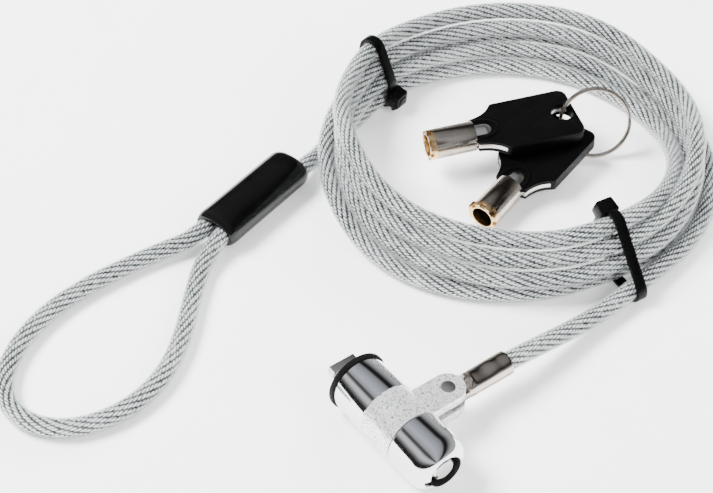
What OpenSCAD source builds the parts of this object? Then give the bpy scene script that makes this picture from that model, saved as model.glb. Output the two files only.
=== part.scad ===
// Laptop cable lock: a tubular-key lock head on a swivelling clevis collar, a looped and coiled
// wire-rope cable in a clear jacket, and two tubular keys on a split ring.
// The lock's axis is +X from the gasket's back face (X = 0) to the keyway. +Z is up.
// Everything lies on a surface one gasket radius below the lock's axis.

/* [Lock body] */
// Diameter of the chromed barrel, collar and cap
body_d = 13.2; // [13:0.1:16]
// Length from the gasket's back face to the front of the cap
body_len = 30.4; // [29:0.1:40]
// Length of the rear barrel
rear_len = 9.3; // [8.5:0.1:12]
// Width of the swivelling collar
collar_w = 8.8; // [8:0.1:11]
// Gap on each side of the collar
collar_gap = 0.1; // [0.05:0.01:0.2]
// Wall of the barrel and cap around the inner sleeve
shell_wall = 1.4; // [1.2:0.05:1.6]
// Thickness of the barrel's back wall
back_wall = 1.6; // [1.2:0.1:2.4]
// Radius of the rounded shoulder at the front of the cap
dome_r = 4.2; // [3:0.1:4.8]
// Thickness of the rubber gasket
gasket_t = 1.5; // [1:0.1:2.5]
// How far the gasket stands proud of the barrel
gasket_proud = 0.3; // [0:0.05:0.6]
// Diameter of the hole in the gasket
gasket_hole_d = 7.4; // [7:0.1:9]

/* [Locking head] */
// Long side of the T head, for a slot 7 mm long
t_head_l = 6.8; // [6:0.1:7]
// Short side of the T head, for a slot 3 mm high
t_head_h = 2.8; // [2.4:0.1:3]
// Thickness of the T head
t_head_t = 2.0; // [1.6:0.1:2.6]
// Gap between the gasket and the T head
neck_len = 2.9; // [2.2:0.1:3.6]
// Diameter of the neck behind the T head
neck_d = 2.4; // [2:0.1:2.6]
// Diameter of the spindle inside the lock
spindle_d = 3.2; // [2.8:0.1:3.6]
// Diameter of each fixed guide pin beside the neck
guide_d = 1.8; // [1.2:0.1:1.8]
// How far the guide pins stand out of the gasket
guide_out = 1.9; // [1:0.1:2.2]

/* [Tumblers] */
// Wall of the steel sleeve that joins barrel and cap
sleeve_wall = 0.8; // [0.6:0.05:0.9]
// Number of pin places round the lock, one of them left empty
pin_places = 8; // [8:1:8]
// Diameter of the tumbler pins
pin_d = 1.1; // [0.9:0.05:1.2]
// Length of the driver pins
driver_len = 4.2; // [3:0.1:4.6]
// Length of the turning plug
plug_len = 6.0; // [5:0.1:6.5]
// Length of the fixed pin chamber
chamber_len = 9.0; // [8:0.1:9.5]

/* [Clevis] */
// Distance from the lock's axis to the rivet
rivet_reach = 12.5; // [11.5:0.1:16]
// Radius of the rounded ends of the ears
ear_r = 3.7; // [3.2:0.1:4.2]
// Gap between the two ears
ear_gap = 2.0; // [1.6:0.1:2.6]
// Thickness of each ear
ear_t = 2.1; // [1.6:0.1:2.6]
// Diameter of the rivet
rivet_d = 2.6; // [2:0.1:3.2]

/* [Cable] */
// Diameter of the cable over its clear jacket
cable_d = 4.4; // [3.6:0.1:5.4]
// Wall of the ferrule that is crimped on the cable
ferrule_wall = 0.5; // [0.4:0.05:0.8]
// Length of the ferrule's round part
ferrule_len = 10.0; // [8:0.1:14]
// Radius of the coil at the middle of its bundle
coil_r = 41.8; // [40:0.1:51]
// Height of the coiled bundle
coil_h = 19.4; // [16:0.1:24]
// Length of the plastic sleeve on the loop
sleeve_len = 28.5; // [22:0.5:36]
// Wall of the plastic sleeve at the sides of the cable pair
sleeve_side = 0.9; // [0.8:0.05:1.4]
// Length of the crimp inside the plastic sleeve
crimp_len = 16; // [10:0.5:18]
// Width of the cable ties
tie_w = 2.6; // [2.2:0.1:4.8]
// Thickness of the cable ties
tie_t = 1.1; // [0.9:0.1:1.4]

/* [Keys] */
// Outer diameter of the tubular keys
key_d = 7.3; // [6:0.1:7.4]
// Wall of the key tubes
key_wall = 1.0; // [0.9:0.05:1.2]
// Length of the key tubes in front of the grips
key_tube_len = 11.6; // [9:0.1:16]
// Width of the grips
grip_w = 16.4; // [13:0.1:20]
// Length of the grips
grip_len = 25.8; // [24:0.1:32]
// Thickness of the grips
grip_t = 3.1; // [2.6:0.1:3.4]
// Thickness of the metal web inside the grips
web_t = 1.1; // [0.8:0.1:1.4]
// Diameter of the hole for the split ring
ring_hole_d = 5.4; // [5.2:0.1:6]
// Mean diameter of the split ring
ring_d = 16.8; // [16:0.1:18]
// Radial thickness of the split ring's wire
ring_wire = 1.2; // [0.8:0.05:1.3]

/* [Hidden] */
$fn = 48;

// Clearances
swivel_clear = 0.05;   // collar on inner sleeve, radial
turn_clear = 0.05;     // turning plug and spindle, radial
shear_gap = 0.05;      // between the pin chamber and the plug, along the axis
pin_clear = 0.03;      // pins in their holes, radial
rivet_clear = 0.05;    // ferrule on rivet, radial
tongue_clear = 0.1;    // tongue between the ears, each side
keyway_clear = 0.15;   // key tube in the keyway, radial
post_clear = 0.1;      // key tube on the centre post, radial
cable_clear = 0.05;    // cable in ferrule, crimp and sleeve, radial
tie_clear = 0.1;       // ties round the coil
grip_clear = 0.02;     // web and stem in the grips
eps = 0.01;

// Lock body, from the back to the front
body_r = body_d / 2;
gasket_r = body_r + gasket_proud;
surface_z = -gasket_r;
rear_x0 = gasket_t;
rear_x1 = rear_x0 + rear_len;
collar_x0 = rear_x1 + collar_gap;
collar_x1 = collar_x0 + collar_w;
cap_x0 = collar_x1 + collar_gap;
seam_bevel = 0.2;
sleeve_r = body_r - shell_wall;
bore_r = sleeve_r - sleeve_wall;

// Tumblers
spindle_r = spindle_d / 2;
neck_r = neck_d / 2;
back_x = rear_x0 + back_wall;
clip_t = 0.6;
clip_x0 = back_x + 0.9;
chamber_x0 = clip_x0 + clip_t + 0.3;
chamber_x1 = chamber_x0 + chamber_len;
plug_x0 = chamber_x1 + shear_gap;
plug_x1 = plug_x0 + plug_len;
plug_r = bore_r - turn_clear;
key_r = key_d / 2;
key_bore_r = key_r - key_wall;
keyway_r = key_r + keyway_clear;
post_r = key_bore_r - post_clear;
pin_circle_r = (key_r + key_bore_r) / 2;
pin_r = pin_d / 2;
pin_hole_r = pin_r + pin_clear;
pin_angles = [for (i = [1 : pin_places - 1]) i * 360 / pin_places];
pin_steps = [0.9, 0.3, 1.2, 0.0, 0.6, 1.2, 0.3];
spring_x0 = chamber_x0 + 1.0;
driver_x0 = chamber_x1 - driver_len;
sleeve_x1 = plug_x1 + 4.2;
slot_turn = 197;
slot_w = 1.7;
slot_depth = 1.1;

// Shoulder of the cap: an arc from the side wall to the edge of the keyway
dome_c_r = body_r - dome_r;
dome_end = asin(max(0, keyway_r - dome_c_r) / dome_r);
dome_x0 = body_len - dome_r * cos(dome_end);
lip_x0 = max(sleeve_x1, dome_x0 - 0.6);

// Clevis and ferrule
clevis_x = (collar_x0 + collar_x1) / 2;
rivet_r = rivet_d / 2;
ear_top = ear_gap / 2 + ear_t;
tongue_r = ear_r - 0.6;
tongue_h = ear_gap - 2 * tongue_clear;
cable_r = cable_d / 2;
ferrule_r = cable_r + cable_clear + ferrule_wall;
tongue_y1 = rivet_reach + ear_r + 0.35;
ferrule_y0 = tongue_y1 + 1.6;
ferrule_y1 = ferrule_y0 + ferrule_len;
ferrule_depth = ferrule_len - 1.5;

// Coil, on the surface
// The cable's points below were chosen for a coil of this radius. A wider coil grows
// away from the loop's sleeve, and the keys stay inside it.
coil_r_drawn = 41.8;
coil_x = -34.8 + 0.56 * (coil_r - coil_r_drawn);
coil_y = 74.3 + 0.83 * (coil_r - coil_r_drawn);
coil_in = 7.3;
coil_out = 6.6;
coil_bevel = 3;
tie_left_turn = 194.5;
tie_right_turn = -7.5;

// Sleeve on the loop
loop_sleeve_x = -61.0;
loop_sleeve_y = 15.5;
loop_sleeve_turn = 106;
pair_pitch = 0.5;
pair_off = (cable_d + pair_pitch) / 2;
crimp_side = 0.35;
crimp_h = cable_d + 1.2;
crimp_w = 2 * (pair_off + cable_r + cable_clear + crimp_side);
loop_sleeve_h = crimp_h + 2.8;
loop_sleeve_w = 2 * (pair_off + cable_r + cable_clear + sleeve_side);
loop_sleeve_z = surface_z + loop_sleeve_h / 2;
lie_z = surface_z + cable_r + 0.02;

// Keys: each is built along +X from its mouth, and placed by its ring hole
ring_hole_x = key_tube_len + grip_len - 3.2;
stem_x0 = key_tube_len - 3.4;
stem_x1 = key_tube_len + 2.6;
stem_r = key_bore_r - 0.25;
ring_hole_r = ring_hole_d / 2;
key_2_tilt = 4;
key_1_tilt = 1.5;
key_2_at = [coil_x + 1.0, coil_y + 13.2, surface_z + key_r + ring_hole_x * sin(key_2_tilt) + 0.03];
key_1_at = [coil_x - 0.5, coil_y + 14.0, key_2_at[2] + grip_t + 0.6];
key_1_turn = 69.5;
key_2_turn = 106;
ring_r = ring_d / 2;
ring_w = 1.8;
ring_lean = 66;
ring_turn = -36.5;
ring_rise = (ring_r + ring_wire / 2) * sin(ring_lean) + ring_w / 2 * cos(ring_lean);
ring_at = [coil_x + 4.8, coil_y + 20.0, surface_z + ring_rise];

// Routes of the cable. Within a sleeve or ferrule the cable is straight.
function in_sleeve(along, side) = [
    loop_sleeve_x + along * cos(loop_sleeve_turn) + side * pair_off * sin(loop_sleeve_turn),
    loop_sleeve_y + along * sin(loop_sleeve_turn) - side * pair_off * cos(loop_sleeve_turn),
    loop_sleeve_z
];
lead_route = [
    [clevis_x, ferrule_y1 - ferrule_depth, 0],
    [clevis_x, ferrule_y1, 0],
    [clevis_x, ferrule_y1 + 4.5, -0.3],
    [15.1, 40, -1.4],
    [14.7, 48, -2.8],
    [14.1, 56, lie_z + 0.7],
    [13.4, 64, lie_z],
    [12.2, 72, lie_z]
];
loop_route = [
    [-67.0, 43.0, lie_z],
    [-65.2, 38.5, lie_z + 0.4],
    in_sleeve(sleeve_len / 2 + 3.5, 1),
    in_sleeve(sleeve_len / 2, 1),
    in_sleeve(0, 1),
    in_sleeve(-sleeve_len / 2, 1),
    [-52.8, -2.0, lie_z + 0.8],
    [-50.3, -6.0, lie_z + 0.2],
    [-46.5, -10.0, lie_z],
    [-42.0, -14.3, lie_z],
    [-36.5, -19.5, lie_z],
    [-31.3, -25.5, lie_z],
    [-27.2, -32.5, lie_z],
    [-25.2, -40.0, lie_z],
    [-25.6, -47.5, lie_z],
    [-28.4, -54.2, lie_z],
    [-33.8, -58.8, lie_z],
    [-40.5, -60.0, lie_z],
    [-47.0, -57.8, lie_z],
    [-52.5, -52.8, lie_z],
    [-56.8, -46.0, lie_z],
    [-59.5, -38.5, lie_z],
    [-60.8, -30.5, lie_z],
    [-61.1, -23.0, lie_z],
    [-60.9, -16.0, lie_z],
    [-60.2, -9.5, lie_z + 0.3],
    [-59.3, -4.0, lie_z + 0.8],
    in_sleeve(-sleeve_len / 2, -1),
    in_sleeve(0, -1),
    in_sleeve(crimp_len / 2 + 1.5, -1)
];

// Sweeps a tube of radius r along the points of a route.
function unit(v) = v / norm(v);
function heading(p, i) = unit(p[min(i + 1, len(p) - 1)] - p[max(i - 1, 0)]);
function ring_of(p, i, r, sides) =
    let (
        t = heading(p, i),
        side = unit(cross(t, [0, 0, 1])),
        up = cross(side, t)
    )
    [for (k = [0 : sides - 1]) p[i] + r * (cos(360 * k / sides) * side + sin(360 * k / sides) * up)];
module tube_along(p, r, sides = 10) {
    n = len(p);
    points = [for (i = [0 : n - 1]) each ring_of(p, i, r, sides)];
    walls = [for (i = [0 : n - 2], k = [0 : sides - 1])
        [i * sides + k, (i + 1) * sides + k,
         (i + 1) * sides + (k + 1) % sides, i * sides + (k + 1) % sides]];
    first = [for (k = [0 : sides - 1]) k];
    last = [for (k = [sides - 1 : -1 : 0]) (n - 1) * sides + k];
    polyhedron(points, concat([first, last], walls), convexity = 8);
}

// A solid turned round the X axis from an outline of [radius, x] points
module turned(outline) {
    rotate([0, 90, 0]) rotate_extrude() polygon(outline);
}

// A rod along X
module rod(x0, x1, r) {
    translate([x0, 0, 0]) rotate([0, 90, 0]) cylinder(h = x1 - x0, r = r);
}

// Copies its children to every pin place that holds a pin
module at_pins() {
    for (a = pin_angles) rotate([a + slot_turn, 0, 0]) translate([0, pin_circle_r, 0]) children();
}

// Moves its children from the angle 0 of the coil to the angle turn, at the bundle's middle
module at_coil(turn) {
    translate([coil_x, coil_y, surface_z]) rotate(turn) translate([coil_r, 0, 0]) children();
}

module rubber_gasket() {
    color([0.04, 0.04, 0.04]) turned([
        [gasket_hole_d / 2, 0],
        [gasket_r - 0.25, 0],
        [gasket_r, 0.25],
        [gasket_r, gasket_t - 0.25],
        [gasket_r - 0.25, gasket_t],
        [gasket_hole_d / 2, gasket_t]
    ]);
}

module rear_barrel() {
    color([0.82, 0.83, 0.85]) difference() {
        turned([
            [neck_r + turn_clear, rear_x0],
            [body_r, rear_x0],
            [body_r, rear_x1 - seam_bevel],
            [body_r - seam_bevel, rear_x1],
            [sleeve_r, rear_x1],
            [sleeve_r, back_x],
            [neck_r + turn_clear, back_x]
        ]);
        at_guides() rod(rear_x0 - eps, back_x + eps, guide_d / 2);
    }
}

module at_guides() {
    for (side = [-1, 1]) translate([0, side * (t_head_l - guide_d) / 2, 0]) children();
}

module slot_guides() {
    color([0.75, 0.75, 0.77]) at_guides() rod(-guide_out, back_x, guide_d / 2);
}

module front_cap() {
    arc = [for (i = [0 : 10])
        let (a = 90 + (dome_end - 90) * i / 10)
        [dome_c_r + dome_r * sin(a), dome_x0 + dome_r * cos(a)]];
    color([0.82, 0.83, 0.85]) difference() {
        turned(concat(
            [[sleeve_r, cap_x0], [body_r - seam_bevel, cap_x0], [body_r, cap_x0 + seam_bevel]],
            arc,
            [[keyway_r, lip_x0], [sleeve_r, lip_x0]]
        ));
        rotate([slot_turn, 0, 0]) translate([lip_x0 - 1, keyway_r - 0.4, -slot_w / 2])
            cube([body_len, slot_depth + 0.4, slot_w]);
    }
}

module inner_sleeve() {
    color([0.65, 0.66, 0.68]) difference() {
        turned([
            [bore_r, back_x],
            [sleeve_r, back_x],
            [sleeve_r, lip_x0],
            [bore_r, lip_x0]
        ]);
        chamber_pin_hole();
    }
}

// The cross pin sits in the empty pin place, under the collar
module chamber_pin_hole() {
    rotate([slot_turn, 0, 0]) translate([clevis_x - 2.6, 2.4, 0]) rotate([-90, 0, 0])
        cylinder(h = sleeve_r - 2.4 - 0.02, r = 0.6);
}

module chamber_pin() {
    color([0.6, 0.6, 0.62]) chamber_pin_hole();
}

module pin_chamber() {
    color([0.78, 0.62, 0.3]) difference() {
        rod(chamber_x0, chamber_x1, bore_r);
        rod(chamber_x0 - eps, chamber_x1 + eps, spindle_r + turn_clear);
        at_pins() rod(spring_x0, chamber_x1 + eps, pin_hole_r);
        chamber_pin_hole();
    }
}

module driver_pins() {
    color([0.75, 0.75, 0.77]) at_pins() rod(driver_x0, chamber_x1, pin_r);
}

// Each spring is a ribbed tube of the coil spring's outer size
module pin_springs() {
    ribs = 9;
    pitch = (driver_x0 - spring_x0) / ribs;
    outer = [for (i = [0 : ribs - 1]) each [
        [pin_r - 0.18, spring_x0 + i * pitch],
        [pin_r - 0.04, spring_x0 + (i + 0.5) * pitch]
    ]];
    color([0.7, 0.7, 0.72]) at_pins() turned(concat(
        outer,
        [[pin_r - 0.18, driver_x0], [pin_r - 0.3, driver_x0], [pin_r - 0.3, spring_x0]]
    ));
}

module key_pins() {
    color([0.82, 0.66, 0.34]) for (i = [0 : len(pin_angles) - 1])
        rotate([pin_angles[i] + slot_turn, 0, 0]) translate([0, pin_circle_r, 0])
            rod(plug_x0, plug_x1 - pin_steps[i], pin_r);
}

module key_plug() {
    color([0.8, 0.64, 0.32]) difference() {
        rod(plug_x0, plug_x1, plug_r);
        rod(plug_x0 - eps, plug_x1 + eps, spindle_r);
        at_pins() rod(plug_x0 - eps, plug_x1 + eps, pin_hole_r);
    }
}

module t_bar_spindle() {
    head_x0 = -neck_len - t_head_t;
    groove = 0.35;
    color([0.8, 0.8, 0.78]) union() {
        intersection() {
            translate([head_x0, -t_head_l / 2, -t_head_h / 2]) cube([t_head_t, t_head_l, t_head_h]);
            rod(head_x0, -neck_len, t_head_l / 2);
        }
        difference() {
            turned([
                [0, head_x0 + 0.5],
                [neck_r, head_x0 + 0.5],
                [neck_r, back_x + 0.3],
                [spindle_r, back_x + 0.3],
                [spindle_r, clip_x0],
                [spindle_r - groove, clip_x0],
                [spindle_r - groove, clip_x0 + clip_t],
                [spindle_r, clip_x0 + clip_t],
                [spindle_r, plug_x1],
                [post_r, plug_x1],
                [post_r, body_len - 0.9],
                [post_r - 0.35, body_len - 0.55],
                [0, body_len - 0.55]
            ]);
            rotate([slot_turn + 8, 0, 0]) translate([plug_x1 + 1, post_r - 0.8, -0.55])
                cube([body_len, 2, 1.1]);
        }
    }
}

module spindle_clip() {
    color([0.55, 0.55, 0.57]) difference() {
        turned([
            [spindle_r - 0.35, clip_x0 + 0.05],
            [spindle_r + 1.1, clip_x0 + 0.05],
            [spindle_r + 1.1, clip_x0 + clip_t - 0.05],
            [spindle_r - 0.35, clip_x0 + clip_t - 0.05]
        ]);
        translate([clip_x0 - 1, 0, -0.9]) cube([clip_t + 2, spindle_r + 3, 1.8]);
    }
}

module swivel_collar() {
    color([0.7, 0.71, 0.72]) difference() {
        union() {
            turned([
                [0, collar_x0],
                [body_r, collar_x0],
                [body_r, collar_x1],
                [0, collar_x1]
            ]);
            translate([clevis_x, rivet_reach, -ear_top]) cylinder(h = 2 * ear_top, r = ear_r);
            translate([clevis_x - ear_r, 0, -ear_top]) cube([2 * ear_r, rivet_reach, 2 * ear_top]);
        }
        rod(collar_x0 - eps, collar_x1 + eps, sleeve_r + swivel_clear);
        translate([collar_x0 - 1, body_r + 0.4, -ear_gap / 2])
            cube([collar_w + 2, rivet_reach + ear_r, ear_gap]);
        translate([clevis_x, rivet_reach, -ear_top - 1]) cylinder(h = 2 * ear_top + 2, r = rivet_r);
    }
}

module clevis_rivet() {
    color([0.72, 0.73, 0.74]) translate([clevis_x, rivet_reach, 0]) union() {
        translate([0, 0, -ear_top - 0.2]) cylinder(h = 2 * ear_top + 0.4, r = rivet_r);
        for (up = [0, 1]) mirror([0, 0, up]) translate([0, 0, ear_top])
            cylinder(h = 0.25, r1 = rivet_r + 0.35, r2 = rivet_r + 0.1);
    }
}

module cable_end_ferrule() {
    color([0.62, 0.57, 0.52]) difference() {
        union() {
            translate([clevis_x, rivet_reach, -tongue_h / 2]) cylinder(h = tongue_h, r = tongue_r);
            translate([clevis_x - tongue_r * 0.8, rivet_reach, -tongue_h / 2])
                cube([tongue_r * 1.6, tongue_y1 - rivet_reach + 0.2, tongue_h]);
            hull() {
                translate([clevis_x - tongue_r * 0.8, tongue_y1, -tongue_h / 2])
                    cube([tongue_r * 1.6, 0.1, tongue_h]);
                translate([clevis_x, ferrule_y0, 0]) rotate([-90, 0, 0])
                    cylinder(h = 0.1, r = ferrule_r, $fn = 32);
            }
            translate([clevis_x, ferrule_y0, 0]) rotate([-90, 0, 0])
                cylinder(h = ferrule_len, r = ferrule_r);
        }
        translate([clevis_x, rivet_reach, -tongue_h]) cylinder(h = 2 * tongue_h, r = rivet_r + rivet_clear);
        translate([clevis_x, ferrule_y1 - ferrule_depth, 0]) rotate([-90, 0, 0])
            cylinder(h = ferrule_depth + 1, r = cable_r + cable_clear);
    }
}

module cable_lead() {
    color([0.75, 0.78, 0.79]) tube_along(lead_route, cable_r);
}

module cable_coil() {
    outline = [
        [-coil_in + coil_bevel, 0],
        [coil_out - coil_bevel, 0],
        [coil_out, coil_bevel],
        [coil_out, coil_h - coil_bevel],
        [coil_out - coil_bevel, coil_h],
        [-coil_in + coil_bevel, coil_h],
        [-coil_in, coil_h - coil_bevel],
        [-coil_in, coil_bevel]
    ];
    groove = tie_t + tie_clear;
    color([0.75, 0.78, 0.79]) difference() {
        translate([coil_x, coil_y, surface_z]) rotate_extrude($fn = 96)
            polygon([for (p = outline) [coil_r + p[0], p[1]]]);
        for (turn = [tie_left_turn, tie_right_turn]) at_coil(turn)
            translate([-coil_in - 2, -tie_w / 2 - tie_clear, -1])
                cube([coil_in + coil_out + 4, tie_w + 2 * tie_clear, 1 + groove]);
    }
}

module cable_loop() {
    color([0.75, 0.78, 0.79]) tube_along(loop_route, cable_r);
}

// A bar along Y with round sides, as wide along X as w and as high as h
module oval_bar(w, h, length) {
    translate([0, -length / 2, 0]) rotate([-90, 0, 0]) union() {
        for (side = [-1, 1]) translate([side * (w - h) / 2, 0, 0]) cylinder(h = length, r = h / 2);
        translate([-(w - h) / 2, -h / 2, 0]) cube([w - h, h, length]);
    }
}

module cable_pair_holes(length) {
    for (side = [-1, 1]) translate([side * pair_off, -length / 2, 0]) rotate([-90, 0, 0])
        cylinder(h = length, r = cable_r + cable_clear);
}

module at_loop_sleeve() {
    translate([loop_sleeve_x, loop_sleeve_y, loop_sleeve_z]) rotate(loop_sleeve_turn - 90) children();
}

module loop_crimp() {
    color([0.75, 0.75, 0.77]) at_loop_sleeve() difference() {
        oval_bar(crimp_w, crimp_h, crimp_len);
        cable_pair_holes(crimp_len + 1);
    }
}

module loop_sleeve() {
    color([0.03, 0.03, 0.03]) at_loop_sleeve() difference() {
        union() {
            oval_bar(loop_sleeve_w, loop_sleeve_h, sleeve_len - 2);
            oval_bar(loop_sleeve_w - 1, loop_sleeve_h - 1, sleeve_len);
        }
        oval_bar(crimp_w + 0.04, crimp_h + 0.04, crimp_len + 0.04);
        cable_pair_holes(sleeve_len + 1);
    }
}

// A cable tie round the bundle: a flat band and its ratchet head
module cable_tie(turn, head_x, head_z) {
    x0 = -coil_in - tie_clear;
    x1 = coil_out + tie_clear;
    z1 = coil_h + tie_clear;
    corner = coil_bevel - 1;
    inner = [
        [x0, tie_t + corner],
        [x0 + corner, tie_t],
        [x1 - corner, tie_t],
        [x1, tie_t + corner],
        [x1, z1 - corner],
        [x1 - corner, z1],
        [x0 + corner, z1],
        [x0, z1 - corner]
    ];
    outer = [
        [x0 - tie_t, corner],
        [x0 - tie_t + corner, 0],
        [x1 + tie_t - corner, 0],
        [x1 + tie_t, corner],
        [x1 + tie_t, z1 + tie_t - corner],
        [x1 + tie_t - corner, z1 + tie_t],
        [x0 - tie_t + corner, z1 + tie_t],
        [x0 - tie_t, z1 + tie_t - corner]
    ];
    color([0.03, 0.03, 0.03]) at_coil(turn) union() {
        translate([0, tie_w / 2, 0]) rotate([90, 0, 0]) linear_extrude(tie_w) difference() {
            polygon(outer);
            polygon(inner);
        }
        translate([head_x, -2.4, head_z]) cube([4.2, 4.8, 4.4]);
    }
}

module cable_tie_left() {
    cable_tie(tie_left_turn, -coil_in - tie_clear - tie_t - 3.6, coil_h * 0.3);
}

module cable_tie_right() {
    cable_tie(tie_right_turn, -coil_in, coil_h);
}

// The outline of a key's grip, along X from the tube. Its front edges are hollow curves.
function grip_half() =
    let (
        half = grip_w / 2,
        flare = 6.4,
        corner = 2.2,
        x0 = key_tube_len + 0.15,
        x1 = key_tube_len + grip_len,
        front = [for (i = [0 : 8])
            let (u = i / 8)
            (1 - u) * (1 - u) * [x0, 4.2] + 2 * u * (1 - u) * [x0 + 4.4, 4.7]
                + u * u * [x0 + flare, half - 0.3]]
    )
    concat(
        [for (a = [0 : 15 : 90]) [x1 - corner + corner * cos(a), half - corner + corner * sin(a)]],
        [[x0 + flare + 0.5, half]],
        [for (i = [8 : -1 : 0]) front[i]]
    );
module grip_outline() {
    side = grip_half();
    polygon(concat(side, [for (i = [len(side) - 1 : -1 : 0]) [side[i][0], -side[i][1]]]));
}

// Where the metal web lies inside the grip: it shows only along the hollow front edges
module web_outline(extra) {
    intersection() {
        grip_outline();
        union() {
            translate([key_tube_len - 1, -grip_w]) square([7.0 + extra, 2 * grip_w]);
            translate([key_tube_len - 1, -grip_w / 2 + 0.9 - extra])
                square([grip_len - 0.35 + extra, grip_w - 1.8 + 2 * extra]);
        }
    }
}

module key_stem(extra) {
    rod(stem_x0 - extra, stem_x1, stem_r + extra);
    translate([stem_x1, 0, 0]) sphere(r = stem_r + extra);
}

module ring_hole() {
    translate([ring_hole_x, 0, -grip_t]) cylinder(h = 2 * grip_t, r = ring_hole_r);
}

module key_tube() {
    cuts = [1.5, 0.9, 1.8, 0.6, 1.2, 1.8, 0.9];
    color([0.78, 0.76, 0.72]) difference() {
        union() {
            rod(0, key_tube_len, key_r);
            translate([0.7, key_r - 0.4, -0.65]) cube([2.0, 1.1, 1.3]);
        }
        rod(-1, stem_x0, key_bore_r);
        rod(-1, key_tube_len + 1, stem_r);
        for (i = [0 : 6]) rotate([(i + 1) * 45, 0, 0])
            translate([-1, key_bore_r + 0.35, -0.7]) cube([1 + cuts[i], 2, 1.4]);
    }
}

module key_core() {
    color([0.75, 0.74, 0.72]) difference() {
        union() {
            key_stem(0);
            translate([0, 0, -web_t / 2]) linear_extrude(web_t) web_outline(0);
        }
        ring_hole();
    }
}

module key_grip() {
    color([0.03, 0.03, 0.03]) difference() {
        translate([0, 0, -grip_t / 2]) linear_extrude(grip_t) grip_outline();
        translate([0, 0, -web_t / 2 - grip_clear]) linear_extrude(web_t + 2 * grip_clear)
            offset(delta = 0.01) web_outline(grip_clear);
        key_stem(grip_clear);
        ring_hole();
    }
}

module key_at(at, turn, tilt) {
    translate(at) rotate([0, -tilt, turn]) translate([-ring_hole_x, 0, 0]) children();
}

module key_1_tube() { key_at(key_1_at, key_1_turn, key_1_tilt) key_tube(); }
module key_1_core() { key_at(key_1_at, key_1_turn, key_1_tilt) key_core(); }
module key_1_grip() { key_at(key_1_at, key_1_turn, key_1_tilt) key_grip(); }
module key_2_tube() { key_at(key_2_at, key_2_turn, key_2_tilt) key_tube(); }
module key_2_core() { key_at(key_2_at, key_2_turn, key_2_tilt) key_core(); }
module key_2_grip() { key_at(key_2_at, key_2_turn, key_2_tilt) key_grip(); }

module key_ring() {
    color([0.78, 0.77, 0.75]) translate(ring_at) rotate([0, ring_lean, ring_turn])
        rotate_extrude($fn = 96) translate([ring_r - ring_wire / 2, -ring_w / 2])
            square([ring_wire, ring_w]);
}

rubber_gasket();
rear_barrel();
front_cap();
inner_sleeve();
slot_guides();
pin_chamber();
chamber_pin();
driver_pins();
pin_springs();
key_pins();
key_plug();
t_bar_spindle();
spindle_clip();
swivel_collar();
clevis_rivet();
cable_end_ferrule();
cable_lead();
cable_coil();
cable_loop();
loop_crimp();
loop_sleeve();
cable_tie_left();
cable_tie_right();
key_1_tube();
key_1_core();
key_1_grip();
key_2_tube();
key_2_core();
key_2_grip();
key_ring();
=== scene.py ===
"""Looks of a laptop cable lock: a lock head, a coiled wire rope in a clear jacket, and two keys."""

import math

import bmesh
import bpy
import numpy as np
from mathutils import Matrix, Vector


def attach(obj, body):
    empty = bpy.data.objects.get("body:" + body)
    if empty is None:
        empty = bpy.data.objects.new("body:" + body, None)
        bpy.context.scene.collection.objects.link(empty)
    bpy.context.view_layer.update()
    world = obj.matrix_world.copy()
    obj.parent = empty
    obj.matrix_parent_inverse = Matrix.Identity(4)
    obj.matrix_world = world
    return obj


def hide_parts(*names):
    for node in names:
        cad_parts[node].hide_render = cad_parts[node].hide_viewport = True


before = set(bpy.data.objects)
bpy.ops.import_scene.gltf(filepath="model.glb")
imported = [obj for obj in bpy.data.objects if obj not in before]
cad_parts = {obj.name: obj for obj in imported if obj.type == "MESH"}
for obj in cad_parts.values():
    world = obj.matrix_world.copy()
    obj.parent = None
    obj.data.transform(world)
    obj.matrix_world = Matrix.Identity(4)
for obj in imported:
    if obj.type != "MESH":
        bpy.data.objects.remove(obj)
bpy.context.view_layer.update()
MM = 0.001
Z0 = -6.9  # the surface everything lies on


# ---------------------------------------------------------------- materials
def material(name, color=(0.8, 0.8, 0.8), metallic=0.0, rough=0.5, **more):
    """A Principled material, and its nodes, links and shader."""
    m = bpy.data.materials.new(name)
    m.use_nodes = True
    nodes, links = m.node_tree.nodes, m.node_tree.links
    shader = nodes["Principled BSDF"]
    shader.inputs["Base Color"].default_value = (*color, 1)
    shader.inputs["Metallic"].default_value = metallic
    shader.inputs["Roughness"].default_value = rough
    for key, value in more.items():
        shader.inputs[key.replace("_", " ")].default_value = value
    return m, nodes, links, shader


def noise(nodes, scale, detail=4.0, rough=0.55, coords=None, links=None):
    n = nodes.new("ShaderNodeTexNoise")
    n.inputs["Scale"].default_value = scale
    n.inputs["Detail"].default_value = detail
    n.inputs["Roughness"].default_value = rough
    if coords is not None:
        links.new(coords, n.inputs["Vector"])
    return n


def ramp(nodes, stops):
    r = nodes.new("ShaderNodeValToRGB")
    e = r.color_ramp.elements
    while len(e) < len(stops):
        e.new(0.5)
    for el, (at, value) in zip(e, stops):
        el.position = at
        v = value if isinstance(value, tuple) else (value, value, value)
        el.color = (*v, 1)
    return r


def bump(nodes, links, height, shader, distance, strength=1.0):
    b = nodes.new("ShaderNodeBump")
    b.inputs["Distance"].default_value = distance
    b.inputs["Strength"].default_value = strength
    links.new(height, b.inputs["Height"])
    links.new(b.outputs["Normal"], shader.inputs["Normal"])
    return b


def object_coords(nodes):
    return nodes.new("ShaderNodeTexCoord").outputs["Object"]


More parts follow.
